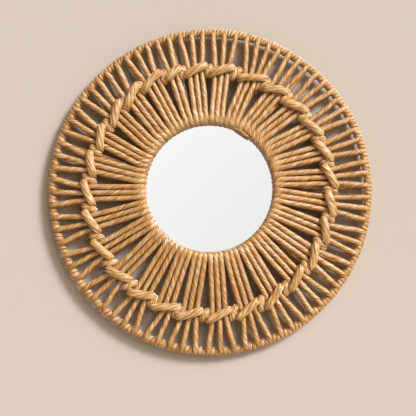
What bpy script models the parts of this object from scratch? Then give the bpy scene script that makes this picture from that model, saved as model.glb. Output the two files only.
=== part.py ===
"""Round wall mirror: a glass in a frame of cord, wound between two hoops and twined in threes.

Metres, +Z up. The mirror faces -Y and the wall is on the +Y side. The origin is the notch of the
sawtooth hanger, where the wall's nail carries it. Angles on the frame are degrees clockwise from
the top, as seen from the front.
"""

import math

import bmesh
import bpy
from mathutils import Matrix, Vector

TOUCH = 0.0003
WELD_DISTANCE = 0.00001

# Both hoops were bent by hand and are a little taller than they are wide.
TALLNESS = 1.016

# Outer rim: the wrapped hoop at the edge, a ring of flattened section.
RIM_OUTER_RADIUS = 0.250
RIM_HALF_WIDTH = 0.0064
RIM_HALF_DEPTH = 0.0032
RIM_RADIUS = RIM_OUTER_RADIUS - RIM_HALF_WIDTH
RIM_STEPS = 56
RIM_SECTION_STEPS = 6

# Hub: where the spokes turn round the inner hoop, a little forward of the rim and off its centre.
OPENING_RADIUS = 0.0962
HUB_FORWARD = 0.015
HUB_ASIDE = -0.0010
HUB_ABOVE = 0.0026
TURN_RADIUS = 0.0047

# Spokes: cord strands, thinner where they are pressed round the two hoops.
STRAND_RADIUS = 0.0041
STRAND_HUB_WIDTH = 0.00385
STRAND_HUB_DEPTH = 0.0035
STRAND_RIM_RADIUS = 0.0035
STRAND_TIP_RADIUS = 0.0021
HUB_RADIUS = OPENING_RADIUS + TURN_RADIUS + STRAND_HUB_DEPTH
STRAND_SIDES = 4
HUB_TURNS = (-65.0, 0.0, 65.0)
TIP_SHARE = 0.7
TIP_DEPTH_SHARE = 0.85
BACK_END_SHARE = 0.4

# Grouping: 28 groups of three strands, with the few slips of the hand that made them.
GROUPS = 28
USUAL_STRANDS = 3
STRANDS_AT_RIM = {1: 4, 15: 2, 24: 2, 26: 2}
STRANDS_AT_HUB = {26: 2}

# Spacing of the strands. At the rim the winding is closer at the upper right than at the lower left.
FIRST_RIM_ANGLE = 1.3
RIM_CROWDING = 0.064
CROWDED_ANGLE = 45.0
FIRST_HUB_ANGLE = 1.9
HUB_STRAND_PITCH = 4.1
WEAVER_STRAND_PITCH = 3.1
TUCKED_STRAND_PITCH = 2.2
HUB_PULL_ON_WEAVER = 0.25

# Weaver: the twined cord, whose stitches slant outward as they run clockwise.
WEAVER_RADIUS = 0.1866
WEAVER_DROP = 0.0038
WEAVER_ASIDE = -0.0012
WEAVER_HALF_WIDTH = 0.0054
WEAVER_HALF_DEPTH = 0.0044
WEAVER_BACK_RADIUS = 0.0034
WEAVER_SIDES = 6
STITCH_RISE = 0.0135
STITCH_OVERHANG = 0.0042
STITCH_DIP = 0.0040
WEAVER_GAP = 0.0008
BULGE = 0.0055
BULGE_ANGLE = 331.0
BULGE_SPREAD = 15.0

# Glass, the panel behind it and the hanger.
GLASS_BEHIND_HUB = 0.0056
GLASS_THICKNESS = 0.0035
GLASS_RADIUS = 0.0980
PANEL_BEHIND_HUB = 0.0095
PANEL_THICKNESS = 0.003
PANEL_RADIUS = 0.110
DISC_STEPS = 48
HANGER_ABOVE_RIM_CENTRE = 0.082
HANGER_LENGTH = 0.046
HANGER_HEIGHT = 0.010
HANGER_SHEET = 0.001
HANGER_STAND_OFF = 0.003
HANGER_FOOT = 0.010
TOOTH_PITCH = 0.004
TOOTH_HEIGHT = 0.002
TEETH_CUTTER_REACH = 0.02
PIN_RADIUS = 0.0022
PIN_HEIGHT = 0.0008
PIN_STEPS = 12

# Places that follow from the sizes above.
NOTCH_BEHIND_PANEL = TOUCH + HANGER_STAND_OFF + HANGER_SHEET / 2
RIM_DEPTH = HUB_FORWARD - PANEL_BEHIND_HUB - PANEL_THICKNESS - NOTCH_BEHIND_PANEL
RIM_CENTRE = Vector((0.0, RIM_DEPTH, -HANGER_ABOVE_RIM_CENTRE))
HUB_CENTRE = RIM_CENTRE + Vector((HUB_ASIDE, -HUB_FORWARD, HUB_ABOVE))
STRAND_OVER_RIM = RIM_HALF_DEPTH + TOUCH + STRAND_RIM_RADIUS
PANEL_FRONT = HUB_CENTRE.y + PANEL_BEHIND_HUB
PANEL_BACK = PANEL_FRONT + PANEL_THICKNESS

# Colours: linear RGB, then roughness and metallic.
LOOKS = {
    "cord": ((0.56, 0.32, 0.13), 0.75, 0.0),
    "weaver_cord": ((0.62, 0.38, 0.17), 0.7, 0.0),
    "mirror": ((0.9, 0.9, 0.9), 0.03, 1.0),
    "hardboard": ((0.20, 0.12, 0.07), 0.85, 0.0),
    "zinc": ((0.55, 0.55, 0.55), 0.4, 1.0),
}


def start_clean():
    for thing in list(bpy.data.objects):
        bpy.data.objects.remove(thing, do_unlink=True)


def new_collection(name):
    group = bpy.data.collections.new(name)
    bpy.context.scene.collection.children.link(group)
    return group


def make_material(name):
    colour, roughness, metallic = LOOKS[name]
    material = bpy.data.materials.new(name)
    material.use_nodes = True
    shader = material.node_tree.nodes["Principled BSDF"]
    shader.inputs["Base Color"].default_value = (*colour, 1.0)
    shader.inputs["Roughness"].default_value = roughness
    shader.inputs["Metallic"].default_value = metallic
    material.diffuse_color = (*colour, 1.0)
    return material


def add_object(name, data, look):
    data.materials.clear()
    data.materials.append(MATERIALS[look])
    thing = bpy.data.objects.new(name, data)
    PARTS.objects.link(thing)
    return thing


def take_active(name, look):
    """Name the primitive just added and move it to the parts collection."""
    thing = bpy.context.active_object
    thing.name = name
    thing.data.materials.append(MATERIALS[look])
    for group in list(thing.users_collection):
        group.objects.unlink(thing)
    PARTS.objects.link(thing)
    return thing


def make_cutter(thing):
    for group in list(thing.users_collection):
        group.objects.unlink(thing)
    CUTTERS.objects.link(thing)
    thing.hide_render = True
    thing.display_type = "WIRE"


def add_boolean(thing, operation, other):
    step = thing.modifiers.new(operation.lower(), "BOOLEAN")
    step.operation = operation
    step.solver = "EXACT"
    step.object = other


def on_dial(centre, radius, angle, depth):
    """A point at a clockwise angle and a radius; depth counts back towards the wall."""
    turn = math.radians(angle)
    return centre + Vector((radius * math.sin(turn), depth, TALLNESS * radius * math.cos(turn)))


def clockwise(angle):
    turn = math.radians(angle)
    return Vector((math.cos(turn), 0.0, -math.sin(turn)))


def average(numbers):
    return sum(numbers) / len(numbers)


def rim_angle(index, count):
    """The angle of a strand at the rim, counted round from the top."""
    even = 360.0 * index / count
    swing = math.sin(math.radians(even - CROWDED_ANGLE)) + math.sin(math.radians(CROWDED_ANGLE))
    return FIRST_RIM_ANGLE + even - math.degrees(RIM_CROWDING) * swing


def plan_groups():
    """Each group's strands as (rim, weaver, hub) angles; None where a strand has no such stretch."""
    at_rim = [STRANDS_AT_RIM.get(group, USUAL_STRANDS) for group in range(GROUPS)]
    at_hub = [STRANDS_AT_HUB.get(group, USUAL_STRANDS) for group in range(GROUPS)]
    step_between = (360.0 - (sum(at_hub) - GROUPS) * HUB_STRAND_PITCH) / GROUPS
    groups = []
    rim_index = 0
    hub_angle = FIRST_HUB_ANGLE
    for rim_count, hub_count in zip(at_rim, at_hub):
        rim = [rim_angle(rim_index + strand, sum(at_rim)) for strand in range(rim_count)]
        hub = [hub_angle + strand * HUB_STRAND_PITCH for strand in range(hub_count)]
        centre = average(rim) + HUB_PULL_ON_WEAVER * (average(hub) - average(rim))
        first = centre - (hub_count - 1) / 2 * WEAVER_STRAND_PITCH
        weaver = [first + strand * WEAVER_STRAND_PITCH for strand in range(hub_count)]
        if rim_count > hub_count:
            hub.append(None)
            weaver.append(weaver[-1] + TUCKED_STRAND_PITCH)
        if rim_count < hub_count:
            rim.append(None)
        groups.append(list(zip(rim, weaver, hub)))
        rim_index += rim_count
        hub_angle += (hub_count - 1) * HUB_STRAND_PITCH + step_between
    return groups


def weaver_radius(angle):
    away = (angle - BULGE_ANGLE) / BULGE_SPREAD
    turn = math.radians(angle)
    off_centre = WEAVER_ASIDE * math.sin(turn) - WEAVER_DROP * math.cos(turn)
    return WEAVER_RADIUS + off_centre + BULGE * math.exp(-away * away)


def share_out(radius):
    """0 at the hub's hoop, 1 at the rim's."""
    return (radius - HUB_RADIUS) / (RIM_RADIUS - HUB_RADIUS)


def depth_of_front(radius):
    """Depth from the rim's middle of the front strands' axes: they bend where the weaver holds them."""
    hub = -HUB_FORWARD - TURN_RADIUS
    weaver = -HUB_FORWARD * (1 - share_out(WEAVER_RADIUS)) - STRAND_RADIUS - TOUCH
    rim = -STRAND_OVER_RIM
    if radius < WEAVER_RADIUS:
        share = (radius - HUB_RADIUS) / (WEAVER_RADIUS - HUB_RADIUS)
        return hub + (weaver - hub) * share
    share = (radius - WEAVER_RADIUS) / (RIM_RADIUS - WEAVER_RADIUS)
    return weaver + (rim - weaver) * share


def depth_of_back(radius):
    hub = -HUB_FORWARD + TURN_RADIUS
    return hub + (STRAND_OVER_RIM - hub) * share_out(radius)


def loft(name, rings, look):
    """A closed skin through rings of (middle, half width, half depth), its width along the frame."""
    mesh = bmesh.new()
    middles = [ring[0] for ring in rings]
    middle = sum(middles, Vector()) / len(middles)
    side = clockwise(math.degrees(math.atan2(middle.x - RIM_CENTRE.x, middle.z - RIM_CENTRE.z)))
    loops = []
    for index, (place, half_width, half_depth) in enumerate(rings):
        before = middles[max(index - 1, 0)]
        after = middles[min(index + 1, len(rings) - 1)]
        lift = (after - before).cross(side).normalized()
        loop = []
        for corner in range(STRAND_SIDES):
            turn = 2 * math.pi * corner / STRAND_SIDES
            offset = side * (half_width * math.sin(turn)) + lift * (half_depth * math.cos(turn))
            loop.append(mesh.verts.new(place + offset))
        loops.append(loop)
    for near, far in zip(loops, loops[1:]):
        for corner in range(STRAND_SIDES):
            following = (corner + 1) % STRAND_SIDES
            mesh.faces.new((near[corner], near[following], far[following], far[corner]))
    mesh.faces.new(loops[0])
    mesh.faces.new(loops[-1])
    bmesh.ops.recalc_face_normals(mesh, faces=mesh.faces)
    data = bpy.data.meshes.new(name)
    mesh.to_mesh(data)
    mesh.free()
    return add_object(name, data, look)


def held_ring(weaver, depth_of):
    """Where the twining holds a strand, in front or behind."""
    radius = weaver_radius(weaver)
    place = on_dial(RIM_CENTRE, radius, weaver, depth_of(radius))
    return (place, STRAND_RADIUS, STRAND_RADIUS)


def tip_rings(rim):
    """The rounded tip of a front strand where it goes over the rim."""
    tip_radius = RIM_RADIUS + TIP_SHARE * RIM_HALF_WIDTH
    tip = on_dial(RIM_CENTRE, tip_radius, rim, -TIP_DEPTH_SHARE * STRAND_OVER_RIM)
    crest = on_dial(RIM_CENTRE, RIM_RADIUS, rim, -STRAND_OVER_RIM)
    return [
        (tip, STRAND_TIP_RADIUS, STRAND_TIP_RADIUS),
        (crest, STRAND_RADIUS, STRAND_RIM_RADIUS),
    ]


def hub_rings(hub):
    """The turn round the inner hoop, from front to back."""
    rings = []
    for turn in HUB_TURNS:
        angle = math.radians(turn)
        radius = HUB_RADIUS - TURN_RADIUS * math.cos(angle)
        place = on_dial(HUB_CENTRE, radius, hub, TURN_RADIUS * math.sin(angle))
        rings.append((place, STRAND_HUB_WIDTH, STRAND_HUB_DEPTH))
    return rings


def back_ring(rim):
    end = on_dial(RIM_CENTRE, RIM_RADIUS + BACK_END_SHARE * RIM_HALF_WIDTH, rim, STRAND_OVER_RIM)
    return (end, STRAND_RIM_RADIUS, STRAND_RIM_RADIUS)


def strand_rings(rim, weaver, hub):
    """One strand from the rim's front, under the weaver, round the hub and back to the rim's rear."""
    rings = tip_rings(rim) if rim is not None else []
    rings.append(held_ring(weaver, depth_of_front))
    if hub is not None:
        back_angle = rim if rim is not None else weaver
        rings += hub_rings(hub)
        rings.append(held_ring(weaver, depth_of_back))
        rings.append(back_ring(back_angle))
    return rings


def make_spoke_group(number, strands):
    """The strands of one group, joined where they press together at the hub or under the weaver."""
    name = f"spoke_group_{number:02d}"
    whole = loft(name, strand_rings(*strands[0]), "cord")
    for index, strand in enumerate(strands[1:], start=2):
        neighbour = loft(f"{name}_strand_{index}", strand_rings(*strand), "cord")
        make_cutter(neighbour)
        add_boolean(whole, "UNION", neighbour)


def make_ring_tube(name, points, half_width, half_depth, look):
    """A closed ring of cord through the points, its width in the plane of the frame."""
    mesh = bmesh.new()
    loops = []
    for before, place, after in zip(points[-1:] + points[:-1], points, points[1:] + points[:1]):
        along = (after - before).normalized()
        side = along.cross(Vector((0.0, 1.0, 0.0))).normalized()
        lift = side.cross(along)
        loop = []
        for corner in range(WEAVER_SIDES):
            turn = 2 * math.pi * corner / WEAVER_SIDES
            offset = side * (half_width * math.cos(turn)) + lift * (half_depth * math.sin(turn))
            loop.append(mesh.verts.new(place + offset))
        loops.append(loop)
    for near, far in zip(loops, loops[1:] + loops[:1]):
        for corner in range(WEAVER_SIDES):
            following = (corner + 1) % WEAVER_SIDES
            mesh.faces.new((near[corner], near[following], far[following], far[corner]))
    bmesh.ops.recalc_face_normals(mesh, faces=mesh.faces)
    data = bpy.data.meshes.new(name)
    mesh.to_mesh(data)
    mesh.free()
    return add_object(name, data, look)


def make_weaver(name, groups, depth_of, toward_wall, half_width, half_depth, dip):
    """One strand of the twining: a slanting stitch over each group, which may dip between groups."""
    points = []
    for group, following in zip(groups, groups[1:] + groups[:1]):
        first = group[0][1]
        last = group[-1][1]
        overhang = math.degrees(STITCH_OVERHANG / WEAVER_RADIUS)
        gap_end = following[0][1] if following is not groups[0] else following[0][1] + 360.0
        for angle, rise in ((first - overhang, -STITCH_RISE / 2), (last + overhang, STITCH_RISE / 2)):
            radius = weaver_radius(angle)
            depth = depth_of(radius) + toward_wall * (STRAND_RADIUS + WEAVER_GAP + half_depth)
            points.append(on_dial(RIM_CENTRE, radius + rise, angle, depth))
        if dip:
            between = (last + gap_end) / 2
            radius = weaver_radius(between)
            depth = depth_of(radius) + toward_wall * (STRAND_RADIUS + WEAVER_GAP + half_depth - dip)
            points.append(on_dial(RIM_CENTRE, radius, between, depth))
    return make_ring_tube(name, points, half_width, half_depth, "weaver_cord")


def make_rim():
    bpy.ops.mesh.primitive_torus_add(
        major_radius=RIM_RADIUS,
        minor_radius=RIM_HALF_WIDTH,
        major_segments=RIM_STEPS,
        minor_segments=RIM_SECTION_STEPS,
    )
    rim = take_active("outer_rim", "cord")
    rim.data.transform(Matrix.Diagonal((1.0, TALLNESS, RIM_HALF_DEPTH / RIM_HALF_WIDTH, 1.0)))
    rim.location = RIM_CENTRE
    rim.rotation_euler.x = math.radians(90.0)
    rim.data.shade_smooth()


def make_disc(name, radius, front, thickness, look):
    bpy.ops.mesh.primitive_cylinder_add(vertices=DISC_STEPS, radius=radius, depth=thickness)
    disc = take_active(name, look)
    disc.data.transform(Matrix.Diagonal((1.0, TALLNESS, 1.0, 1.0)))
    disc.location = (HUB_CENTRE.x, front + thickness / 2, HUB_CENTRE.z)
    disc.rotation_euler.x = math.radians(90.0)


def outline_prism(name, outline, low, high, look):
    """A prism whose outline lies in the plane of X and Y and whose ends are at the heights low and high."""
    curve = bpy.data.curves.new(name, "CURVE")
    curve.dimensions = "2D"
    curve.fill_mode = "BOTH"
    curve.extrude = (high - low) / 2
    spline = curve.splines.new("POLY")
    spline.points.add(len(outline) - 1)
    for point, (across, up) in zip(spline.points, outline):
        point.co = (across, up, 0.0, 1.0)
    spline.use_cyclic_u = True
    prism = add_object(name, curve, look)
    prism.location.z = (low + high) / 2
    return prism


def to_mesh_object(thing):
    """Replace a curve object by a mesh object of the same shape and name, with its caps welded."""
    bpy.context.view_layer.update()
    evaluated = thing.evaluated_get(bpy.context.evaluated_depsgraph_get())
    data = bpy.data.meshes.new_from_object(evaluated)
    mesh = bmesh.new()
    mesh.from_mesh(data)
    bmesh.ops.remove_doubles(mesh, verts=mesh.verts, dist=WELD_DISTANCE)
    bmesh.ops.recalc_face_normals(mesh, faces=mesh.faces)
    mesh.to_mesh(data)
    mesh.free()
    name = thing.name
    place = thing.matrix_world.copy()
    bpy.data.objects.remove(thing)
    solid = bpy.data.objects.new(name, data)
    solid.matrix_world = place
    PARTS.objects.link(solid)
    return solid


def make_hanger():
    """A strip bridged off the panel, with teeth along its lower edge; the middle notch is the origin."""
    half = HANGER_LENGTH / 2
    foot_end = half - HANGER_FOOT
    bridge_end = foot_end - HANGER_STAND_OFF
    inner = PANEL_BACK + TOUCH
    outer = inner + HANGER_SHEET
    raised = inner + HANGER_STAND_OFF
    left_to_right = [(-half, inner), (-foot_end, inner), (-bridge_end, raised)]
    left_to_right += [(bridge_end, raised), (foot_end, inner), (half, inner)]
    right_to_left = [(half, outer), (foot_end, outer), (bridge_end, raised + HANGER_SHEET)]
    right_to_left += [(-bridge_end, raised + HANGER_SHEET), (-foot_end, outer), (-half, outer)]
    low = -TOOTH_HEIGHT
    high = low + HANGER_HEIGHT
    strip = to_mesh_object(outline_prism("sawtooth_hanger", left_to_right + right_to_left, low, high, "zinc"))

    teeth = []
    count = int(bridge_end / TOOTH_PITCH)
    for notch in range(-count, count + 1):
        teeth.append((notch * TOOTH_PITCH - TOOTH_PITCH / 2, low))
        teeth.append((notch * TOOTH_PITCH, low + TOOTH_HEIGHT))
    teeth_end = (count + 0.5) * TOOTH_PITCH
    teeth += [(teeth_end, low), (teeth_end, low - TOOTH_HEIGHT), (-teeth_end, low - TOOTH_HEIGHT)]
    cutter = outline_prism("teeth_cutter", teeth, -TEETH_CUTTER_REACH, TEETH_CUTTER_REACH, "zinc")
    cutter.location.z = 0.0
    cutter.rotation_euler.x = math.radians(90.0)
    cutter = to_mesh_object(cutter)
    make_cutter(cutter)
    add_boolean(strip, "DIFFERENCE", cutter)

    for side, aside in (("left", -1), ("right", 1)):
        bpy.ops.mesh.primitive_cone_add(
            vertices=PIN_STEPS, radius1=PIN_RADIUS, radius2=PIN_RADIUS / 2, depth=PIN_HEIGHT
        )
        pin = take_active(f"hanger_pin_{side}", "zinc")
        middle = (foot_end + half) / 2
        pin.location = (aside * middle, outer + TOUCH + PIN_HEIGHT / 2, (low + high) / 2)
        pin.rotation_euler.x = math.radians(-90.0)


start_clean()
MATERIALS = {name: make_material(name) for name in LOOKS}
PARTS = new_collection("wall_mirror")
CUTTERS = new_collection("cutters")
GROUP_PLAN = plan_groups()
make_rim()
for group_number, group_strands in enumerate(GROUP_PLAN, start=1):
    make_spoke_group(group_number, group_strands)
make_weaver("weaver_front", GROUP_PLAN, depth_of_front, -1, WEAVER_HALF_WIDTH, WEAVER_HALF_DEPTH, STITCH_DIP)
make_weaver("weaver_back", GROUP_PLAN, depth_of_back, 1, WEAVER_BACK_RADIUS, WEAVER_BACK_RADIUS, 0.0)
make_disc("mirror_glass", GLASS_RADIUS, HUB_CENTRE.y + GLASS_BEHIND_HUB, GLASS_THICKNESS, "mirror")
make_disc("back_panel", PANEL_RADIUS, PANEL_FRONT, PANEL_THICKNESS, "hardboard")
make_hanger()
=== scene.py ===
"""The looks of the round cord mirror: twisted cord, wrapped rim, twining, glass and plain back.

Metres, +Z up. The mirror faces -Y and the wall is on the +Y side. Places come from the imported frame.
Angles on the frame are degrees clockwise from the top, as seen from the front, and a depth counts
back towards the wall.
"""

import math

import bmesh
import bpy
import numpy as np
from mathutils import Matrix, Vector


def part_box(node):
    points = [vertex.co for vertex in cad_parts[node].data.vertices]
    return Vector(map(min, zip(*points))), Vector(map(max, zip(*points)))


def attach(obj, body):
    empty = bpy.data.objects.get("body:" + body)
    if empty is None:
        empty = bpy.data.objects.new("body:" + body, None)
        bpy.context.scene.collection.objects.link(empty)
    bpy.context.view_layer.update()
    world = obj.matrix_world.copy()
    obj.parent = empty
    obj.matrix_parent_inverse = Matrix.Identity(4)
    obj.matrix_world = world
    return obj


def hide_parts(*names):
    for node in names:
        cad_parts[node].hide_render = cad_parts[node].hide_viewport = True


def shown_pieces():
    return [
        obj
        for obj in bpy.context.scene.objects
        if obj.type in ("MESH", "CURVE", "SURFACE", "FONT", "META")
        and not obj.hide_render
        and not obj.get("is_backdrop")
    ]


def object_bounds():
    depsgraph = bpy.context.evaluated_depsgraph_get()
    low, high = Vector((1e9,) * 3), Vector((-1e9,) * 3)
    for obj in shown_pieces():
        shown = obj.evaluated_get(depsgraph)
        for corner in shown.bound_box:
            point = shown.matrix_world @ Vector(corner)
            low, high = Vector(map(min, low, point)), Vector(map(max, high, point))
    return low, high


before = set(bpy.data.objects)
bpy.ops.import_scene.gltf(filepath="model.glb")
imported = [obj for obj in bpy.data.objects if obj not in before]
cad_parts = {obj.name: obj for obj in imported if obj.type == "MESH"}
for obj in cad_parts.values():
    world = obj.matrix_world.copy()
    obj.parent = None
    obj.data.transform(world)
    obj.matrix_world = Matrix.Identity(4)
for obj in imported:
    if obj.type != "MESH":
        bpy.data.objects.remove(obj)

CAD_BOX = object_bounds()

# Places read from the frame. The glass lies behind the middle of the inner hoop.
RIM_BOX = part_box("outer_rim")
GLASS_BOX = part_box("mirror_glass")
PANEL_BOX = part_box("back_panel")
RIM_CENTRE = (np.array(RIM_BOX[0]) + np.array(RIM_BOX[1])) / 2
RIM_OUTER_RADIUS = (RIM_BOX[1][0] - RIM_BOX[0][0]) / 2
TALLNESS = (RIM_BOX[1][2] - RIM_BOX[0][2]) / (RIM_BOX[1][0] - RIM_BOX[0][0])
GLASS_RADIUS = (GLASS_BOX[1][0] - GLASS_BOX[0][0]) / 2
PANEL_RADIUS = (PANEL_BOX[1][0] - PANEL_BOX[0][0]) / 2
GLASS_BEHIND_HUB = 0.0056
HUB_CENTRE = (np.array(GLASS_BOX[0]) + np.array(GLASS_BOX[1])) / 2
HUB_CENTRE[1] = GLASS_BOX[0][1] - GLASS_BEHIND_HUB
HUB_FORWARD = RIM_CENTRE[1] - HUB_CENTRE[1]

# Grouping and spacing of the strands, as in the solids.
GROUPS = 28
USUAL_STRANDS = 3
STRANDS_AT_RIM = {1: 4, 15: 2, 24: 2, 26: 2}
STRANDS_AT_HUB = {26: 2}
FIRST_RIM_ANGLE = 1.3
RIM_CROWDING = 0.064
CROWDED_ANGLE = 45.0
FIRST_HUB_ANGLE = 1.9
HUB_STRAND_PITCH = 4.1
WEAVER_STRAND_PITCH = 3.1
TUCKED_STRAND_PITCH = 2.2
HUB_PULL_ON_WEAVER = 0.25

# Sections of the winding.
RIM_HALF_WIDTH = 0.0064
RIM_HALF_DEPTH = 0.0060
RIM_RADIUS = RIM_OUTER_RADIUS - RIM_HALF_WIDTH
CORE_HALF_WIDTH = 0.0046
CORE_HALF_DEPTH = 0.0038
WRAP_HALF_THICKNESS = 0.0017
WRAPS_PER_STRAND = 3
WRAP_OVERLAP = 1.06
STRAND_RADIUS = 0.0040
STRAND_CREST_DEPTH = 0.0072
HUB_RADIUS = 0.1044
TURN_RADIUS = 0.0047
HUB_STRAND_WIDTH = 0.0044
HUB_STRAND_THICKNESS = 0.0035
BACK_STRAY = 1.9
BACK_STRAY_SHARE = 0.14
HUB_SAG = np.array((-0.0003, 0.0, -0.0011))
PRESSED_WIDER = 0.75
# Painted shade that browns the strands on the hub's inner lip, and the splice laid there.
LIP_PAINTED_SHADE = 0.42

# Where a strand is held by the twining, and where a short one's tip is tucked, from the twining's radius.
HELD_INSIDE = 0.007
HELD_OUTSIDE = 0.006
TUCKED_INSIDE = 0.016
TUCKED_OUTSIDE = 0.012

# A strand over the rim: distance out from the rim's middle, depth, and shares of its width and depth.
OVER_RIM = (
    (-0.0100, -STRAND_CREST_DEPTH - 0.0004, 1.00, 0.97),
    (-0.0045, -STRAND_CREST_DEPTH - 0.0002, 1.00, 0.90),
    (-0.0010, -STRAND_CREST_DEPTH + 0.0008, 0.97, 0.78),
    (0.0014, -STRAND_CREST_DEPTH + 0.0034, 0.85, 0.62),
    (0.0020, 0.0, 0.60, 0.50),
    (0.0014, STRAND_CREST_DEPTH - 0.0034, 0.85, 0.62),
    (-0.0020, STRAND_CREST_DEPTH, 0.97, 0.78),
)

# Standard deviations: angles in degrees, sways and reaches in metres, widths as a share.
RIM_ANGLE_SPREAD = 0.12
WEAVER_ANGLE_SPREAD = 0.08
OUTER_ANGLE_SPREAD = 0.10
BACK_ANGLE_SPREAD = 0.25
WRAP_ANGLE_SPREAD = 0.04
FRONT_SWAY = 0.0003
BACK_SWAY = 0.0005
OUTER_DEPTH_SPREAD = 0.0003
WRAP_REACH_SPREAD = 0.00028
THICKNESS_SPREAD = 0.02
WRAP_WIDTH_SPREAD = 0.05

# Splice: where the winding's end lies along the hub.
SPLICE_GROUP = 3
SPLICE_START = 22.0
SPLICE_SPAN = 17.0

# Weaver: the twined cord, whose stitches slant outward as they run clockwise.
WEAVER_RADIUS = 0.1866
WEAVER_DROP = 0.0038
WEAVER_ASIDE = -0.0012
STITCH_HALF_WIDTH = 0.0063
STITCH_HALF_DEPTH = 0.0041
BACK_CORD_RADIUS = 0.0034
STITCH_RISE = 0.0135
STITCH_OVERHANG = 0.0072
WEAVER_GAP = 0.0002
CONNECTOR_SINK = 0.0053
BULGE = 0.0055
BULGE_ANGLE = 331.0
BULGE_SPREAD = 15.0

# Twist of the cord and fineness of its mesh.
STRAND_LEAD = 0.037
WEAVER_LEAD = 0.090
TUCKED_LEAD = 0.034
WEAVER_STEP = 0.0013
WRAP_LEAD = 0.030
FRONT_STEP = 0.0018
BACK_STEP = 0.0032
FINE_STEP = 0.0006
STRAND_BLUR = 2.6
STITCH_BLUR = 2.2
SPLICE_BLUR = 1.5
FIBRE_STRETCH = 0.12

# Unevenness of the plies: swings as a share of the cord's size or groove, waves in metres.
PLY_SHIFT = 0.16
DEEP_PLY_EVERY = 3
FINE_PLY_DEPTHS = (0.40, 0.80)
DEPTH_MEAN = 0.66
DEPTH_SWING = 0.34
DEPTH_WAVE = 0.045
SWELL_SWING = 0.030
SWELL_WAVE = 0.060
RIPPLE_SWING = 0.012
RIPPLE_WAVE = 0.018
PLY_ROUNDNESS = 0.8
# How sharply the painted shade in a groove falls off from its bottom.
GROOVE_SHARPNESS = 1.5

# Each cord's strip of the map: its lower margin and its height, as shares of its room.
MAP_MARGIN = 0.03
MAP_HEIGHT = 0.94

GLASS_ARRIS = 0.0006
PANEL_ARRIS = 0.0008
WALL_GAP = 0.0015
FLOOR_DROP = 1.25
STAGE_HALF_WIDTH = 3.0
TO_WALL = np.array((0.0, 1.0, 0.0))

LIGHT_TINT = (1.0, 0.985, 0.97)
AMBIENT = 0.21


def dial(centre, radius, angle, depth):
    """A point at a clockwise angle and a radius; depth counts back towards the wall."""
    turn = math.radians(angle)
    return np.array(centre) + np.array((radius * math.sin(turn), depth, TALLNESS * radius * math.cos(turn)))


def clockwise(angle):
    """The direction in which angles grow, at a clockwise angle."""
    turn = math.radians(angle)
    return np.array((math.cos(turn), 0.0, -math.sin(turn)))


def average(numbers):
    return sum(numbers) / len(numbers)


def rim_angle(index, count):
    """The angle of a strand at the rim, counted round from the top."""
    even = 360.0 * index / count
    swing = math.sin(math.radians(even - CROWDED_ANGLE)) + math.sin(math.radians(CROWDED_ANGLE))
    return FIRST_RIM_ANGLE + even - math.degrees(RIM_CROWDING) * swing


def plan_groups():
    """Each group's strands as (rim, weaver, hub) angles; None where a strand has no such stretch."""
    at_rim = [STRANDS_AT_RIM.get(group, USUAL_STRANDS) for group in range(GROUPS)]
    at_hub = [STRANDS_AT_HUB.get(group, USUAL_STRANDS) for group in range(GROUPS)]
    step_between = (360.0 - (sum(at_hub) - GROUPS) * HUB_STRAND_PITCH) / GROUPS
    groups = []
    rim_index = 0
    hub_angle = FIRST_HUB_ANGLE
    for rim_count, hub_count in zip(at_rim, at_hub):
        rim = [rim_angle(rim_index + strand, sum(at_rim)) for strand in range(rim_count)]
        hub = [hub_angle + strand * HUB_STRAND_PITCH for strand in range(hub_count)]
        centre = average(rim) + HUB_PULL_ON_WEAVER * (average(hub) - average(rim))
        first = centre - (hub_count - 1) / 2 * WEAVER_STRAND_PITCH
        weaver = [first + strand * WEAVER_STRAND_PITCH for strand in range(hub_count)]
        if rim_count > hub_count:
            hub.append(None)
            weaver.append(weaver[-1] + TUCKED_STRAND_PITCH)
        if rim_count < hub_count:
            rim.append(None)
        groups.append(list(zip(rim, weaver, hub)))
        rim_index += rim_count
        hub_angle += (hub_count - 1) * HUB_STRAND_PITCH + step_between
    return groups


def weaver_radius(angle):
    """The twining's radius about the rim's middle: a little off centre, with an outward bulge."""
    away = (angle - BULGE_ANGLE) / BULGE_SPREAD
    turn = math.radians(angle)
    off_centre = WEAVER_ASIDE * math.sin(turn) - WEAVER_DROP * math.cos(turn)
    return WEAVER_RADIUS + off_centre + BULGE * math.exp(-away * away)


def share_out(radius):
    """0 at the hub's hoop, 1 at the rim's."""
    return (radius - HUB_RADIUS) / (RIM_RADIUS - HUB_RADIUS)


def front_depth(radius):
    """Depth from the rim's middle of the front strands' axes: they bend where the weaver holds them."""
    hub = -HUB_FORWARD - TURN_RADIUS
    weaver = -HUB_FORWARD * (1 - share_out(WEAVER_RADIUS)) - STRAND_RADIUS
    if radius < WEAVER_RADIUS:
        share = (radius - HUB_RADIUS) / (WEAVER_RADIUS - HUB_RADIUS)
        return hub + (weaver - hub) * share
    share = (radius - WEAVER_RADIUS) / (RIM_RADIUS - WEAVER_RADIUS)
    return weaver + (-STRAND_CREST_DEPTH - weaver) * share


def back_depth(radius):
    """Depth from the rim's middle of the back strands' axes, which run straight from hub to rim."""
    hub = -HUB_FORWARD + TURN_RADIUS
    return hub + (STRAND_CREST_DEPTH - hub) * share_out(radius)


def along(rows, step):
    """Rows of numbers, led by a point, spread out at even steps along the polyline of their points."""
    rows = np.asarray(rows, float)
    lengths = np.concatenate([[0.0], np.cumsum(np.linalg.norm(np.diff(rows[:, :3], axis=0), axis=1))])
    places = np.linspace(0.0, lengths[-1], max(round(lengths[-1] / step), 2) + 1)
    return np.column_stack([np.interp(places, lengths, column) for column in rows.T])


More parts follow.
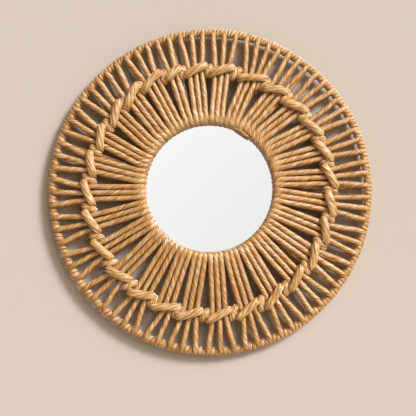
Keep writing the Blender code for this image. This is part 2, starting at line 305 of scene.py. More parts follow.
def smoothed(rows, spread, closed=False):
    """Rows a step apart, blurred along their length by a Gaussian of that many steps."""
    reach = int(3 * spread) + 1
    kernel = np.exp(-0.5 * (np.arange(-reach, reach + 1) / spread) ** 2)
    kernel /= kernel.sum()
    if closed:
        padded = np.vstack([rows[-reach:], rows, rows[:reach]])
    else:
        ahead = 2 * rows[0] - rows[reach:0:-1]
        behind = 2 * rows[-1] - rows[-2 : -reach - 2 : -1]
        padded = np.vstack([ahead, rows, behind])
    return np.column_stack([np.convolve(column, kernel, mode="valid") for column in padded.T])


def drift(random, places, wavelength):
    """A slow random wave along a cord, between -1 and 1."""
    total = np.zeros_like(places)
    for share in (1.0, 0.61, 0.37):
        total += np.sin(2 * math.pi * places / (wavelength * share) + random.uniform(0, 2 * math.pi))
    return total / 3


def cross_directions(middle, side_hint, closed):
    """Unit directions across a cord: one near the side hint, and one square to it."""
    if closed:
        tangent = np.roll(middle, -1, axis=0) - np.roll(middle, 1, axis=0)
    else:
        tangent = np.gradient(middle, axis=0)
    tangent /= np.linalg.norm(tangent, axis=1)[:, None]
    hint = side_hint if side_hint.ndim == 2 else np.repeat(side_hint[None], len(middle), axis=0)
    side = hint - (hint * tangent).sum(axis=1)[:, None] * tangent
    side /= np.linalg.norm(side, axis=1)[:, None]
    return side, np.cross(tangent, side)


def strip_map(strips, sides):
    """The map places of a tube's quads, laid out flat as one strip from 0 to 1 each way."""
    along_map = np.linspace(0.0, 1.0, strips + 1)
    around_map = np.linspace(0.0, 1.0, sides + 1)
    corner_u = np.stack([along_map[:-1], along_map[:-1], along_map[1:], along_map[1:]], axis=-1)
    corner_v = np.stack([around_map[:-1], around_map[1:], around_map[1:], around_map[:-1]], axis=-1)
    cells = np.stack(
        [
            np.repeat(corner_u[:, None], sides, axis=1),
            np.repeat(corner_v[None], strips, axis=0),
        ],
        axis=-1,
    )
    return cells.reshape(-1, 4, 2)


class Cords:
    """Tubes of twisted cord, gathered into one mesh with its fibre coordinates and grooves."""

    def __init__(self, seed):
        self.random = np.random.default_rng(seed)
        self.places = []
        self.fibres = []
        self.groove_shades = []
        self.faces = []
        self.maps = []
        self.count = 0
        self.tubes = 0

    def ply_columns(self, place, twist, plies, points_per_ply, groove_depth):
        """Each column of points along a cord: its angles, its swell and its share of a groove.

        The plies are given in turn their own share of the groove's depth: a few deep, the rest fine. The
        share of a groove sets the painted shade there.
        """
        angles = []
        swell = []
        painted_groove_shade = []
        for ply in range(plies):
            start = 2 * math.pi * (ply + PLY_SHIFT * self.random.uniform(-1, 1)) / plies
            end = 2 * math.pi * (ply + 1) / plies
            own_depth = groove_depth
            if ply % DEEP_PLY_EVERY:
                own_depth = groove_depth * self.random.uniform(*FINE_PLY_DEPTHS)
            depth = own_depth * (DEPTH_MEAN + DEPTH_SWING * drift(self.random, place, DEPTH_WAVE))
            fuller = SWELL_SWING * drift(self.random, place, SWELL_WAVE)
            for share in np.linspace(0.0, 1.0, points_per_ply, endpoint=False):
                bulge = math.sin(math.pi * share) ** PLY_ROUNDNESS if share else 0.0
                angles.append(start + (end - start) * share + twist)
                ripple = RIPPLE_SWING * drift(self.random, place, RIPPLE_WAVE)
                swell.append(1.0 - depth * (1.0 - bulge) + fuller * bulge + ripple)
                painted_groove_shade.append(np.clip(depth / groove_depth, 0, 1) * (1.0 - bulge) ** GROOVE_SHARPNESS)
        return np.column_stack(angles), np.column_stack(swell), np.column_stack(painted_groove_shade)

    def add(self, rows, side_hint, plies, points_per_ply, lead, groove_depth, closed=False):
        """One cord along rows of (x, y, z, half width, half depth, shade), its width along the side hint.

        The shade is painted shade that browns the cord where it turns round the hub's inner lip; rows without
        one are left as they are. A lead below 0 twists the other way. A closed cord turns by whole plies, so
        that its ends meet, and by at least one, so a closed cord with a lead below 0 comes out with that one
        alone and looks all but untwisted.
        """
        middle = rows[:, :3]
        spans = np.linalg.norm(np.diff(middle, axis=0), axis=1)
        place = np.concatenate([[0.0], np.cumsum(spans)])
        side, lift = cross_directions(middle, side_hint, closed)
        whole = place[-1] + (np.linalg.norm(middle[0] - middle[-1]) if closed else 0.0)
        turns = whole / lead
        if closed:
            turns = max(round(turns * plies), 1) / plies
        twist = 2 * math.pi * turns * place / whole
        angles, swell, painted_groove_shade = self.ply_columns(place, twist, plies, points_per_ply, groove_depth)
        # The rows' painted shade joins the painted shade in the grooves.
        if rows.shape[1] > 5:
            painted_groove_shade = np.maximum(painted_groove_shade, rows[:, 5, None])
        across = rows[:, 3, None] * swell * np.cos(angles)
        up = rows[:, 4, None] * swell * np.sin(angles)
        points = middle[:, None] + across[..., None] * side[:, None] + up[..., None] * lift[:, None]

        rest = angles - twist[:, None]
        shift = self.random.uniform(0, 10)
        radius = float(rows[:, 3].mean())
        fibre = np.stack(
            [
                radius * np.cos(rest),
                radius * np.sin(rest),
                np.repeat(place[:, None] * FIBRE_STRETCH + shift, rest.shape[1], axis=1),
            ],
            axis=-1,
        )
        rings, sides = rest.shape
        index = self.count + np.arange(rings * sides).reshape(rings, sides)
        near = index if closed else index[:-1]
        far = np.roll(index, -1, axis=0) if closed else index[1:]
        quads = np.stack([near, np.roll(near, -1, axis=1), np.roll(far, -1, axis=1), far], axis=-1)
        self.faces.append(quads.reshape(-1, 4))
        self.maps.append(strip_map(len(quads), sides))
        self.places.append(points.reshape(-1, 3))
        self.fibres.append(fibre.reshape(-1, 3))
        self.groove_shades.append(painted_groove_shade.reshape(-1))
        self.count += rings * sides
        self.tubes += 1
        if not closed:
            self.cap(index[0][::-1])
            self.cap(index[-1])

    def cap(self, ring):
        """Closes an end with a fan round its middle."""
        places = np.vstack(self.places)[ring]
        fibres = np.vstack(self.fibres)[ring]
        self.places.append(places.mean(axis=0)[None])
        self.fibres.append(fibres.mean(axis=0)[None])
        self.groove_shades.append(np.zeros(1))
        middle = self.count
        self.count += 1
        fan = np.stack([ring, np.roll(ring, -1), np.full(len(ring), middle), np.full(len(ring), -1)], axis=-1)
        self.faces.append(fan)
        self.maps.append(np.zeros((len(ring), 4, 2)))

    def finish(self, name, material):
        """The mesh object, held inside the solids' box, with a map that lays each cord out as a strip."""
        places = np.clip(np.vstack(self.places), CAD_BOX[0], CAD_BOX[1]).astype(np.float32)
        faces = np.vstack(self.faces)
        tube_of_block = np.cumsum([block[0, 3] >= 0 for block in self.faces]) - 1
        maps = []
        for block, tube in zip(self.maps, tube_of_block):
            strip = block.copy()
            strip[..., 1] = (tube + MAP_MARGIN + MAP_HEIGHT * strip[..., 1]) / self.tubes
            maps.append(strip)
        maps = np.vstack(maps)
        kept = np.ones(faces.shape, bool)
        kept[faces[:, 3] < 0, 3] = False
        sizes = kept.sum(axis=1)
        data = bpy.data.meshes.new(name)
        data.vertices.add(len(places))
        data.vertices.foreach_set("co", places.ravel())
        data.loops.add(int(sizes.sum()))
        data.loops.foreach_set("vertex_index", faces[kept].astype(np.int32))
        data.polygons.add(len(faces))
        starts = np.concatenate([[0], np.cumsum(sizes)[:-1]]).astype(np.int32)
        data.polygons.foreach_set("loop_start", starts)
        data.update(calc_edges=True)
        data.validate()
        layer = data.uv_layers.new(name="OFBake")
        layer.data.foreach_set("uv", maps[kept].astype(np.float32).ravel())
        fibre = data.attributes.new("fibre", "FLOAT_VECTOR", "POINT")
        fibre.data.foreach_set("vector", np.vstack(self.fibres).astype(np.float32).ravel())
        # Painted shade of the grooves and the hub's inner lip, kept for the cord's colour.
        painted_groove_shade = data.attributes.new("painted_groove_shade", "FLOAT", "POINT")
        painted_groove_shade.data.foreach_set("value", np.concatenate(self.groove_shades).astype(np.float32))
        data.shade_smooth()
        data.materials.append(material)
        piece = bpy.data.objects.new(name, data)
        bpy.context.scene.collection.objects.link(piece)
        return piece


def new_material(name, roughness, metallic=0.0):
    material = bpy.data.materials.new(name)
    material.use_nodes = True
    shader = material.node_tree.nodes["Principled BSDF"]
    shader.inputs["Roughness"].default_value = roughness
    shader.inputs["Metallic"].default_value = metallic
    return material, material.node_tree.nodes, material.node_tree.links, shader


def add_ramp(nodes, links, source, stops):
    ramp = nodes.new("ShaderNodeValToRGB")
    elements = ramp.color_ramp.elements
    while len(elements) < len(stops):
        elements.new(0.5)
    for element, (place, colour) in zip(elements, stops):
        element.position = place
        element.color = (*colour, 1.0)
    links.new(source, ramp.inputs["Fac"])
    return ramp.outputs["Color"]


def add_noise(nodes, links, source, scale, detail):
    noise = nodes.new("ShaderNodeTexNoise")
    noise.inputs["Scale"].default_value = scale
    noise.inputs["Detail"].default_value = detail
    links.new(source, noise.inputs["Vector"])
    return noise.outputs["Fac"]


def add_range(nodes, links, source, low, high, from_low=0.0, from_high=1.0):
    """A number moved from one range to another, and held inside it."""
    scaled = nodes.new("ShaderNodeMapRange")
    scaled.inputs["From Min"].default_value = from_low
    scaled.inputs["From Max"].default_value = from_high
    scaled.inputs["To Min"].default_value = low
    scaled.inputs["To Max"].default_value = high
    links.new(source, scaled.inputs["Value"])
    return scaled.outputs["Result"]


def add_bump(nodes, links, height, shader, strength, distance):
    bump = nodes.new("ShaderNodeBump")
    bump.inputs["Strength"].default_value = strength
    bump.inputs["Distance"].default_value = distance
    links.new(height, bump.inputs["Height"])
    links.new(bump.outputs["Normal"], shader.inputs["Normal"])


def add_choice(nodes, links, share, first, second):
    """The first shader where the share is 0, the second where it is 1."""
    choice = nodes.new("ShaderNodeMixShader")
    links.new(share, choice.inputs["Fac"])
    links.new(first, choice.inputs[1])
    links.new(second, choice.inputs[2])
    return choice.outputs["Shader"]


def add_facing(nodes, links, source, direction):
    """How far a vector points along a direction."""
    facing = nodes.new("ShaderNodeVectorMath")
    facing.operation = "DOT_PRODUCT"
    facing.inputs[1].default_value = direction
    links.new(source, facing.inputs[0])
    return facing.outputs["Value"]


def add_mix(nodes, links, blend, share, first, second):
    mix = nodes.new("ShaderNodeMix")
    mix.data_type = "RGBA"
    mix.blend_type = blend
    if isinstance(share, float):
        mix.inputs["Factor"].default_value = share
    else:
        links.new(share, mix.inputs["Factor"])
    for socket, value in (("A", first), ("B", second)):
        target = [entry for entry in mix.inputs if entry.name == socket and entry.type == "RGBA"][0]
        if isinstance(value, tuple):
            target.default_value = (*value, 1.0)
        else:
            links.new(value, target)
    return [entry for entry in mix.outputs if entry.type == "RGBA"][0]


def cord_material(name, pale, middle, dark, roughness):
    """Straw-coloured twisted cord: streaks along its fibres, with painted shade in the grooves between plies
    and on the hub's inner lip.
    """
    material, nodes, links, shader = new_material(name, roughness)
    shader.inputs["Specular IOR Level"].default_value = 0.75
    fibre = nodes.new("ShaderNodeAttribute")
    fibre.attribute_name = "fibre"
    painted_groove_shade = nodes.new("ShaderNodeAttribute")
    painted_groove_shade.attribute_name = "painted_groove_shade"
    streaks = add_noise(nodes, links, fibre.outputs["Vector"], scale=640.0, detail=4.0)
    patches = add_noise(nodes, links, fibre.outputs["Vector"], scale=260.0, detail=2.0)
    tones = add_ramp(nodes, links, streaks, ((0.31, dark), (0.51, middle), (0.72, pale)))
    worn = add_ramp(nodes, links, patches, ((0.30, (0.80, 0.76, 0.70)), (0.70, (1.0, 1.0, 1.0))))
    toned = add_mix(nodes, links, "MULTIPLY", 1.0, tones, worn)
    # Painted shade: where the grooves and the hub's inner lip are marked, the colour goes to a deep brown.
    groove_shade_stops = ((0.06, (0.0, 0.0, 0.0)), (0.90, (0.92, 0.92, 0.92)))
    depth = add_ramp(nodes, links, painted_groove_shade.outputs["Fac"], groove_shade_stops)
    shaded = tuple(0.45 * part for part in dark)
    coloured = add_mix(nodes, links, "MIX", depth, toned, shaded)
    links.new(coloured, shader.inputs["Base Color"])
    rough = add_range(nodes, links, patches, roughness - 0.10, roughness + 0.12)
    links.new(rough, shader.inputs["Roughness"])
    add_bump(nodes, links, streaks, shader, strength=0.75, distance=0.0006)
    return material


def mirror_material():
    """Silvered glass, with a trace of dust in its polish."""
    material, nodes, links, shader = new_material("mirror_silvered", 0.02, 1.0)
    shader.inputs["Base Color"].default_value = (0.955, 0.965, 0.96, 1.0)
    place = nodes.new("ShaderNodeTexCoord")
    dust = add_noise(nodes, links, place.outputs["Object"], scale=35.0, detail=4.0)
    links.new(add_range(nodes, links, dust, 0.015, 0.045), shader.inputs["Roughness"])
    return material


def hardboard_material():
    """Brown hardboard: fine flecks, and the faint mesh print of its rough side."""
    material, nodes, links, shader = new_material("hardboard_brown", 0.75)
    place = nodes.new("ShaderNodeTexCoord")
    flecks = add_noise(nodes, links, place.outputs["Object"], scale=900.0, detail=4.0)
    browns = ((0.3, (0.13, 0.075, 0.04)), (0.6, (0.24, 0.15, 0.085)), (0.8, (0.33, 0.22, 0.13)))
    links.new(add_ramp(nodes, links, flecks, browns), shader.inputs["Base Color"])
    print_mark = nodes.new("ShaderNodeTexVoronoi")
    print_mark.inputs["Scale"].default_value = 700.0
    print_mark.inputs["Randomness"].default_value = 0.15
    links.new(place.outputs["Object"], print_mark.inputs["Vector"])
    add_bump(nodes, links, print_mark.outputs["Distance"], shader, strength=0.4, distance=0.0003)
    return material


def zinc_material():
    """Zinc-plated strip: dull, slightly mottled, brushed along its length."""
    material, nodes, links, shader = new_material("zinc_plate", 0.4, 1.0)
    place = nodes.new("ShaderNodeTexCoord")
    stretch = nodes.new("ShaderNodeMapping")
    stretch.inputs["Scale"].default_value = (60.0, 900.0, 900.0)
    links.new(place.outputs["Object"], stretch.inputs["Vector"])
    brushed = add_noise(nodes, links, stretch.outputs["Vector"], scale=1.0, detail=3.0)
    greys = ((0.3, (0.46, 0.47, 0.48)), (0.7, (0.66, 0.66, 0.65)))
    links.new(add_ramp(nodes, links, brushed, greys), shader.inputs["Base Color"])
    links.new(add_range(nodes, links, brushed, 0.30, 0.52), shader.inputs["Roughness"])
    return material


def row_at(centre, radius, angle, depth, half_width, half_depth, shade=0.0):
    """One control row of a strand; its shade is painted shade on the cord's colour."""
    return (*dial(centre, radius, angle, depth), half_width, half_depth, shade)


def row_behind_hub(hub):
    """Where a strand lies behind the inner hoop, which is where it starts and ends."""
    width = HUB_STRAND_WIDTH * 0.95
    return row_at(HUB_CENTRE, HUB_RADIUS + 0.004, hub, TURN_RADIUS, width, HUB_STRAND_THICKNESS)


def rows_round_hub(hub, thick):
    """A strand from behind the inner hoop, round it and out in front, pressed flat on the inner lip and
    browned there with painted shade.
    """
    rows = [row_behind_hub(hub)]
    for turn in (75, 45, 15, -15, -45, -75):
        bend = math.radians(turn)
        pressed = math.cos(bend)
        centre = HUB_CENTRE + HUB_SAG * pressed
        radius = HUB_RADIUS - TURN_RADIUS * pressed
        width = HUB_STRAND_WIDTH * (1.0 + PRESSED_WIDER * pressed)
        depth = TURN_RADIUS * math.sin(bend)
        # Painted shade on the inner lip, strongest where the strand lies flattest.
        shade = LIP_PAINTED_SHADE * pressed
        rows.append(row_at(centre, radius, hub, depth, width, HUB_STRAND_THICKNESS, shade))
    width = HUB_STRAND_WIDTH * 0.99
    depth = -TURN_RADIUS + 0.0003
    rows.append(row_at(HUB_CENTRE, HUB_RADIUS + 0.006, hub, depth, width, STRAND_RADIUS * 0.93))
    depth = -TURN_RADIUS + 0.0012
    rows.append(row_at(HUB_CENTRE, HUB_RADIUS + 0.012, hub, depth, thick * 0.98, thick * 0.97))
    return rows


def strand_rows(rim, weaver, hub, random):
    """One strand's rows, from behind the hub round the inner hoop, out over the rim and back again.

    The number that comes with them says how many, from the first, are cut to the fine front steps.
    """
    rim = None if rim is None else rim + random.normal(0, RIM_ANGLE_SPREAD)
    weaver_out = weaver + random.normal(0, WEAVER_ANGLE_SPREAD)
    sway = random.normal(0, FRONT_SWAY)
    thick = STRAND_RADIUS * (1 + random.normal(0, THICKNESS_SPREAD))
    held_size = (thick * 0.97, thick * 0.95)
    tip_size = (thick * 0.5, thick * 0.5)
    hold = weaver_radius(weaver)
    inside = hold - HELD_INSIDE
    outside = hold + HELD_OUTSIDE
    tucked = hold - TUCKED_INSIDE
    if hub is None:
        rows = [row_at(RIM_CENTRE, tucked, weaver - 0.6, front_depth(tucked) + 0.004, *tip_size)]
    else:
        rows = rows_round_hub(hub, thick)

    def put(radius, angle, depth, half_width, half_depth):
        rows.append(row_at(RIM_CENTRE, radius, angle, depth, half_width, half_depth))

    start = np.array(rows[-1][:3])
    held = dial(RIM_CENTRE, inside, weaver, front_depth(inside))
    rows.append((*((start + held) / 2 + clockwise(weaver) * sway), thick, thick, 0.0))
    rows.append((*held, *held_size, 0.0))
    put(outside, weaver_out, front_depth(outside), *held_size)
    if rim is None:
        put(hold + TUCKED_OUTSIDE, weaver_out, front_depth(hold) + 0.006, *tip_size)
        return rows, len(rows) - 1
    halfway = 0.5 * (hold + RIM_RADIUS)
    angle = 0.5 * (weaver_out + rim) + random.normal(0, OUTER_ANGLE_SPREAD)
    put(halfway, angle, front_depth(halfway) + random.normal(0, OUTER_DEPTH_SPREAD), thick, thick)
    for step_out, depth, width_share, depth_share in OVER_RIM:
        put(RIM_RADIUS + step_out, rim, depth, thick * width_share, thick * depth_share)
    front_rows = len(rows)

    leaving = RIM_RADIUS - 0.012
    put(leaving, rim, back_depth(leaving), *held_size)
    stray = BACK_STRAY if random.random() < BACK_STRAY_SHARE else 0.0
    behind = weaver + random.normal(0, BACK_ANGLE_SPREAD) + stray
    put(outside, behind, back_depth(outside), *held_size)
    put(inside, behind, back_depth(inside), *held_size)
    if hub is None:
        put(tucked, behind, back_depth(tucked) - 0.001, *tip_size)
        return rows, front_rows
    inner = dial(HUB_CENTRE, HUB_RADIUS + 0.014, hub, TURN_RADIUS + 0.0006)
    outer = dial(RIM_CENTRE, inside, behind, back_depth(inside))
    middle = (inner + outer) / 2 + clockwise(behind) * random.normal(0, BACK_SWAY)
    rows.append((*middle, thick, thick, 0.0))
    rows.append((*inner, *held_size, 0.0))
    rows.append(row_behind_hub(hub))
    return rows, front_rows


def even_rows(rows, front_rows):
    """The strand's control rows, rounded and cut to fine steps in front and coarser ones behind."""
    split = len(along(rows[:front_rows], FINE_STEP))
    whole = smoothed(along(rows, FINE_STEP), STRAND_BLUR)
    last = len(whole) - 1
    front_picks = np.arange(0, min(split, last), FRONT_STEP / FINE_STEP)
    back_picks = np.arange(front_picks[-1] + BACK_STEP / FINE_STEP, last, BACK_STEP / FINE_STEP)
    picks = np.concatenate([front_picks, back_picks, [last]])
    return np.column_stack([np.interp(picks, np.arange(len(whole)), column) for column in whole.T])


def add_splice(cords):
    """The end of the winding, laid along the inner lip of the hub and pressed under the strands, with the
    lip's painted shade.
    """
    rows = []
    for share in np.linspace(0.0, 1.0, 12):
        angle = SPLICE_START + share * SPLICE_SPAN
        swell = math.sin(math.pi * min(share * 1.02, 1.0)) ** 0.4 if 0.0 < share < 1.0 else 0.25
        radius = HUB_RADIUS - TURN_RADIUS - HUB_STRAND_THICKNESS + 0.0022 - 0.0016 * share
        place = dial(HUB_CENTRE + HUB_SAG, radius, angle, -0.0034 - 0.0012 * share)
        # The splice gets the inner lip's painted shade.
        rows.append((*place, 0.0036 * swell, 0.0026 * swell, LIP_PAINTED_SHADE))
    rows = cut_cord(rows, SPLICE_BLUR)
    cords.add(rows, TO_WALL, plies=6, points_per_ply=3, lead=-0.022, groove_depth=0.26)


def build_spokes(groups, material):
    """The strands of each group as one piece, in place of its plain solid."""
    pieces = []
    for number, strands in enumerate(groups, start=1):
        cords = Cords(100 + number)
        for rim, weaver, hub in strands:
            rows, front_rows = strand_rows(rim, weaver, hub, cords.random)
            angle = weaver if rim is None else average([rim, weaver])
            rows = even_rows(rows, front_rows)
            cords.add(rows, clockwise(angle), plies=8, points_per_ply=3, lead=-STRAND_LEAD, groove_depth=0.22)
        if number == SPLICE_GROUP:
            add_splice(cords)
        piece = cords.finish(f"cord_spokes_{number:02d}", material)
        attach(piece, "root")
        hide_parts(f"spoke_group_{number:02d}")
        pieces.append(piece)
    return pieces


def wrap_rows(strands, random):
    """The rim's wrapping and its side hints: three slightly uneven turns for each strand."""
    rows = []
    sides = []
    reach_out = RIM_HALF_WIDTH - WRAP_HALF_THICKNESS
    reach_front = RIM_HALF_DEPTH - WRAP_HALF_THICKNESS
    for left, right in zip(strands, strands[1:] + [strands[0] + 360.0]):
        pitch = (right - left) / WRAPS_PER_STRAND
        width = math.radians(pitch) * RIM_RADIUS / 2 * WRAP_OVERLAP
        for wrap in range(WRAPS_PER_STRAND):
            centre = left + wrap * pitch + random.normal(0, WRAP_ANGLE_SPREAD)
            fuller = random.normal(0, WRAP_REACH_SPREAD)
            wide = width * (1 + random.normal(0, WRAP_WIDTH_SPREAD))
            for turn in range(-170, 190, 20):
                bend = math.radians(turn)
                angle = centre + pitch * turn / 360.0
                out = (reach_out + fuller) * math.sin(bend)
                depth = -(reach_front + fuller) * math.cos(bend)
                rows.append((*dial(RIM_CENTRE, RIM_RADIUS + out, angle, depth), wide, WRAP_HALF_THICKNESS))
                sides.append(clockwise(angle))
    return np.array(rows), np.array(sides)


def hold_within(places, limit):
    """Moves the points that lie past a radius of the rim back to it."""
    offset = places - RIM_CENTRE
    radius = np.hypot(offset[:, 0], offset[:, 2] / TALLNESS)
    scale = np.minimum(1.0, limit / np.maximum(radius, 1e-6))
    places[:, 0] = RIM_CENTRE[0] + offset[:, 0] * scale
    places[:, 2] = RIM_CENTRE[2] + offset[:, 2] * scale


def build_rim(groups, material):
    """The rim: a hidden hoop wrapped three times for each strand, the third time over the strand's tip."""
    cords = Cords(7)
    around = np.arange(0, 360, 2.0)
    core = np.array(
        [(*dial(RIM_CENTRE, RIM_RADIUS, angle, 0.0), CORE_HALF_DEPTH, CORE_HALF_WIDTH) for angle in around]
    )
    cords.add(core, TO_WALL, plies=4, points_per_ply=3, lead=0.4, groove_depth=0.02, closed=True)
    strands = sorted(rim for group in groups for rim, _, _ in group if rim is not None)
    rows, sides = wrap_rows(strands, cords.random)
    cords.add(rows, sides, plies=6, points_per_ply=2, lead=-WRAP_LEAD, groove_depth=0.10, closed=True)
    for block in cords.places:
        hold_within(block, RIM_OUTER_RADIUS - 0.0001)
    piece = cords.finish("cord_rim", material)
    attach(piece, "root")
    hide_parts("outer_rim")
    return piece


def cut_cord(rows, blur):
    """A cord's control rows, rounded and cut to even steps."""
    rows = smoothed(along(rows, FINE_STEP), blur)
    picks = np.linspace(0, len(rows) - 1, max(round(len(rows) * FINE_STEP / WEAVER_STEP), 6))
    return np.column_stack([np.interp(picks, np.arange(len(rows)), column) for column in rows.T])


def build_weaver(name, node, groups, depth_of, toward_wall, half_width, half_depth, material, seed):
    """One cord of the twining: a slanting stitch over each group, and a tucked turn inward after it."""
    cords = Cords(seed)
    random = cords.random
    over = STRAND_RADIUS + WEAVER_GAP + half_depth
    overhang = math.degrees(STITCH_OVERHANG / WEAVER_RADIUS)
    size = half_width / STITCH_HALF_WIDTH

    def place(angle, rise, sink, wide, thick):
        radius = weaver_radius(angle)
        depth = depth_of(radius + rise) + toward_wall * (over - sink * size)
        return (*dial(RIM_CENTRE, radius + rise, angle, depth), half_width * wide, half_depth * thick)

    for group, following in zip(groups, groups[1:] + groups[:1]):
        following_first = following[0][1] + (360.0 if following is groups[0] else 0.0)
        start = group[0][1] - overhang
        end = group[-1][1] + overhang
        span = end - start
        gap = following_first - overhang - end
        rise = STITCH_RISE / 2 * (1 + random.normal(0, 0.06))
        lift = random.normal(0, 0.0002)
        fuller = 1 + random.normal(0, 0.035)
        stitch = [
            place(start - 0.02 * span, -rise * 1.03, 0.0100, 0.88, 0.85),
            place(start - 0.01 * span, -rise * 1.02, 0.0050, 0.98, 0.92),
            place(start + 0.05 * span, -rise * 0.94, 0.0010, 1.00, 0.98),
            place(start + 0.20 * span, -rise * 0.66, lift, fuller, fuller),
            place(start + 0.50 * span, random.normal(0, 0.0004), lift - 0.0003, fuller, fuller),
            place(start + 0.80 * span, rise * 0.66, lift, fuller, fuller),
            place(start + 0.95 * span, rise * 0.94, 0.0010, 1.00, 0.98),
            place(end + 0.01 * span, rise * 1.02, 0.0050, 0.98, 0.92),
            place(end + 0.02 * span, rise * 1.03, 0.0100, 0.88, 0.85),
        ]
        tucked = [
            place(end + 1.05 * gap, rise * 1.16, 0.0130, 0.74, 0.90),
            place(end + 0.98 * gap, rise * 1.10, 0.0086, 0.84, 1.00),
            place(end + 0.78 * gap, rise * 0.70, CONNECTOR_SINK, 0.92, 1.08),
            place(end + 0.22 * gap, -rise * 0.80, CONNECTOR_SINK, 0.92, 1.08),
            place(end + 0.02 * gap, -rise * 1.28, 0.0082, 0.84, 1.00),
            place(end - 0.05 * gap, -rise * 1.36, 0.0130, 0.74, 0.90),
        ]
        for rows, lead, depth in ((stitch, WEAVER_LEAD, 0.30), (tucked, TUCKED_LEAD, 0.34)):
            chord = np.array(rows[-1][:3]) - np.array(rows[0][:3])
            rows = cut_cord(rows, STITCH_BLUR)
            sides = np.cross(chord, TO_WALL)
            cords.add(rows, sides, plies=6, points_per_ply=4, lead=-lead, groove_depth=depth)
    piece = cords.finish(name, material)
    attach(piece, "root")
    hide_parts(node)
    return piece


def turned(name, centre, profile, segments, tallness, material):
    """A solid turned round the Y axis through the centre, from (radius, y) pairs that start and end at 0."""
    mesh = bmesh.new()
    rings = []
    for radius, y in profile:
        if radius == 0.0:
            rings.append([mesh.verts.new((centre[0], y, centre[2]))] * segments)
            continue
        ring = []
        for segment in range(segments):
            turn = 2 * math.pi * segment / segments
            up = tallness * radius * math.sin(turn)
            ring.append(mesh.verts.new((centre[0] + radius * math.cos(turn), y, centre[2] + up)))
        rings.append(ring)
    for near, far in zip(rings, rings[1:]):
        for segment in range(segments):
            following = (segment + 1) % segments
            corners = [near[segment], near[following], far[following], far[segment]]
            mesh.faces.new(list(dict.fromkeys(corners)))
    bmesh.ops.recalc_face_normals(mesh, faces=mesh.faces)
    data = bpy.data.meshes.new(name)
    mesh.to_mesh(data)
    mesh.free()
    data.shade_smooth()
    data.set_sharp_from_angle(angle=math.radians(35.0))
    data.materials.append(material)
    piece = bpy.data.objects.new(name, data)
    bpy.context.scene.collection.objects.link(piece)
    return piece


def disc_profile(radius, front, back, arris):
    return [
        (0.0, front),
        (radius - arris, front),
        (radius, front + arris),
        (radius, back - arris),
        (radius - arris, back),
        (0.0, back),
    ]


def build_glass(material):
    profile = disc_profile(GLASS_RADIUS, GLASS_BOX[0][1], GLASS_BOX[1][1], GLASS_ARRIS)
    piece = turned("silvered_glass", HUB_CENTRE, profile, 160, TALLNESS, material)
    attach(piece, "root")
    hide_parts("mirror_glass")


def build_panel(material):
    profile = disc_profile(PANEL_RADIUS, PANEL_BOX[0][1], PANEL_BOX[1][1], PANEL_ARRIS)
    piece = turned("hardboard_panel", HUB_CENTRE, profile, 160, TALLNESS, material)
    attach(piece, "root")
    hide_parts("back_panel")


def build_rivets(material):
    """Domed rivets that hold the hanger, in place of the plain pins."""
    for side in ("left", "right"):
        low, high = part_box(f"hanger_pin_{side}")
        centre = (np.array(low) + np.array(high)) / 2
        radius = (high[0] - low[0]) / 2
        height = high[1] - low[1]
        profile = [(0.0, low[1])]
        for step in range(7):
            bend = math.radians(90.0 * step / 6)
            profile.append((radius * math.cos(bend) if step < 6 else 0.0, low[1] + height * math.sin(bend)))
        piece = turned(f"rivet_{side}", centre, profile, 32, 1.0, material)
        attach(piece, "root")
        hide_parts(f"hanger_pin_{side}")


def finish_hanger(material):
    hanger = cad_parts["sawtooth_hanger"]
    hanger.data.materials.clear()
    hanger.data.materials.append(material)


def one_sided_material(name, colour, roughness):
    """Paint that shows only from its front, so that the wall doesn't hide the back of the mirror."""
    material, nodes, links, shader = new_material(name, roughness)
    shader.inputs["Base Color"].default_value = (*colour, 1.0)
    shader.inputs["Specular IOR Level"].default_value = 0.0
    place = nodes.new("ShaderNodeTexCoord")
    grain = add_noise(nodes, links, place.outputs["Object"], scale=420.0, detail=3.0)
    add_bump(nodes, links, grain, shader, strength=0.25, distance=0.0008)
    side = nodes.new("ShaderNodeNewGeometry").outputs["Backfacing"]
    clear = nodes.new("ShaderNodeBsdfTransparent").outputs["BSDF"]
    shown = add_choice(nodes, links, side, shader.outputs["BSDF"], clear)
    links.new(shown, nodes["Material Output"].inputs["Surface"])
    return material


def build_stage():
    """A plain pale wall close behind the mirror and a pale floor far below it."""
    wall_y = CAD_BOX[1][1] + WALL_GAP
    floor_z = RIM_CENTRE[2] - FLOOR_DROP
    half = STAGE_HALF_WIDTH
    foot_left = (-half, wall_y, floor_z)
    foot_right = (half, wall_y, floor_z)
    wall = [foot_left, foot_right, (half, wall_y, half), (-half, wall_y, half)]
    floor = [(-half, -half, floor_z), (half, -half, floor_z), foot_right, foot_left]
    paint = one_sided_material("wall_paint", (0.585, 0.535, 0.492), 0.9)
    for name, corners in (("wall", wall), ("floor", floor)):
        data = bpy.data.meshes.new(name)
        data.from_pydata(corners, [], [(0, 1, 2, 3)])
        data.materials.append(paint)
        surface = bpy.data.objects.new(name, data)
        bpy.context.scene.collection.objects.link(surface)
        surface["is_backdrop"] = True


def aim(thing, target):
    thing.rotation_euler = (Vector(target) - thing.location).to_track_quat("-Z", "Y").to_euler()


def add_sun(name, direction, width, strength, colour):
    """Even light from far off; the direction is the way to the lamp."""
    data = bpy.data.lights.new(name, "SUN")
    data.angle = math.radians(width)
    data.energy = strength
    data.color = colour
    light = bpy.data.objects.new(name, data)
    light.rotation_euler = Vector(direction).to_track_quat("Z", "Y").to_euler()
    bpy.context.scene.collection.objects.link(light)
    return light


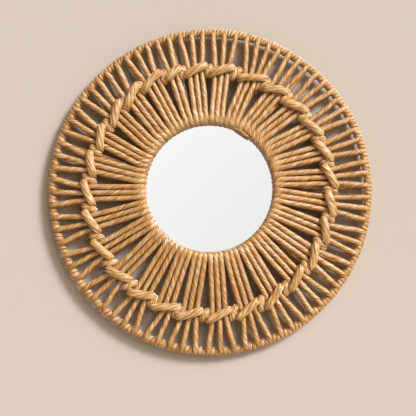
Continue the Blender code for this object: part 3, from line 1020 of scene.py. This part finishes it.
def add_lamps():
    """A soft key from the upper right, and a lamp for the back that the wall lets by."""
    add_sun("key", (1.0, -1.0, 0.85), width=16.0, strength=3.1, colour=LIGHT_TINT)
    add_sun("broad_key", (0.7, -1.0, 0.6), width=60.0, strength=1.4, colour=(1.0, 0.94, 0.86))
    rear = add_sun("rear", (0.50, 1.0, 0.70), width=45.0, strength=2.3, colour=(1.0, 0.98, 0.95))
    rear.data.cycles.max_bounces = 0
    pieces = bpy.data.collections.new("mirror_pieces")
    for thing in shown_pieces():
        pieces.objects.link(thing)
    rear.light_linking.blocker_collection = pieces
    rear.light_linking.receiver_collection = pieces


def add_surround():
    """An even warm surround, seen as a pale slanting shade in reflections and as plain grey behind."""
    world = bpy.data.worlds.new("studio")
    bpy.context.scene.world = world
    world.use_nodes = True
    nodes = world.node_tree.nodes
    links = world.node_tree.links
    soft = nodes["Background"]
    soft.inputs["Color"].default_value = (1.0, 0.70, 0.37, 1.0)
    soft.inputs["Strength"].default_value = AMBIENT
    place = nodes.new("ShaderNodeTexCoord").outputs["Generated"]
    slant = add_facing(nodes, links, place, (-0.7, 0.0, 0.7))
    card = add_range(nodes, links, slant, 0.66, 1.07, from_low=-0.30, from_high=0.30)
    front = add_facing(nodes, links, place, (0.0, -1.0, 0.0))
    ahead = add_range(nodes, links, front, 0.35, 1.0, from_low=0.80, from_high=0.97)
    strength = nodes.new("ShaderNodeMath")
    strength.operation = "MULTIPLY"
    links.new(card, strength.inputs[0])
    links.new(ahead, strength.inputs[1])
    reflected = nodes.new("ShaderNodeBackground")
    reflected.inputs["Color"].default_value = (*LIGHT_TINT, 1.0)
    links.new(strength.outputs["Value"], reflected.inputs["Strength"])
    plain = nodes.new("ShaderNodeBackground")
    plain.inputs["Color"].default_value = (0.82, 0.80, 0.78, 1.0)
    path = nodes.new("ShaderNodeLightPath").outputs
    mirrored = reflected.outputs["Background"]
    lit = add_choice(nodes, links, path["Is Glossy Ray"], soft.outputs["Background"], mirrored)
    seen = add_choice(nodes, links, path["Is Camera Ray"], lit, plain.outputs["Background"])
    links.new(seen, nodes["World Output"].inputs["Surface"])


def add_camera():
    """Straight in front and a little low, looking slightly up."""
    distance = 1.6
    view_width = 0.640
    tilt = math.radians(5.0)
    rise = 0.06
    aside = -0.0032
    below = -0.0278
    data = bpy.data.cameras.new("camera")
    data.sensor_width = 36.0
    data.lens = data.sensor_width * distance / view_width
    data.shift_y = rise
    data.clip_start = 0.05
    data.clip_end = 50.0
    camera = bpy.data.objects.new("camera", data)
    target = Vector(RIM_CENTRE) + Vector((aside, 0.0, below - view_width * rise))
    camera.location = target - distance * Vector((0.0, math.cos(tilt), math.sin(tilt)))
    bpy.context.scene.collection.objects.link(camera)
    aim(camera, target)
    bpy.context.scene.camera = camera


CORD = cord_material(
    "straw_cord",
    pale=(0.98, 0.84, 0.64),
    middle=(0.70, 0.385, 0.115),
    dark=(0.33, 0.120, 0.012),
    roughness=0.40,
)
WEAVER_CORD = cord_material(
    "straw_weaver",
    pale=(0.99, 0.86, 0.67),
    middle=(0.72, 0.41, 0.135),
    dark=(0.33, 0.125, 0.014),
    roughness=0.37,
)
ZINC = zinc_material()
GROUP_PLAN = plan_groups()

build_spokes(GROUP_PLAN, CORD)
build_rim(GROUP_PLAN, CORD)
build_weaver(
    "cord_weaver_front",
    "weaver_front",
    GROUP_PLAN,
    depth_of=front_depth,
    toward_wall=-1,
    half_width=STITCH_HALF_WIDTH,
    half_depth=STITCH_HALF_DEPTH,
    material=WEAVER_CORD,
    seed=12,
)
build_weaver(
    "cord_weaver_back",
    "weaver_back",
    GROUP_PLAN,
    depth_of=back_depth,
    toward_wall=1,
    half_width=BACK_CORD_RADIUS,
    half_depth=BACK_CORD_RADIUS,
    material=WEAVER_CORD,
    seed=14,
)
build_glass(mirror_material())
build_panel(hardboard_material())
build_rivets(ZINC)
finish_hanger(ZINC)
build_stage()
add_camera()
add_lamps()
add_surround()
bpy.context.scene.view_settings.view_transform = "Standard"
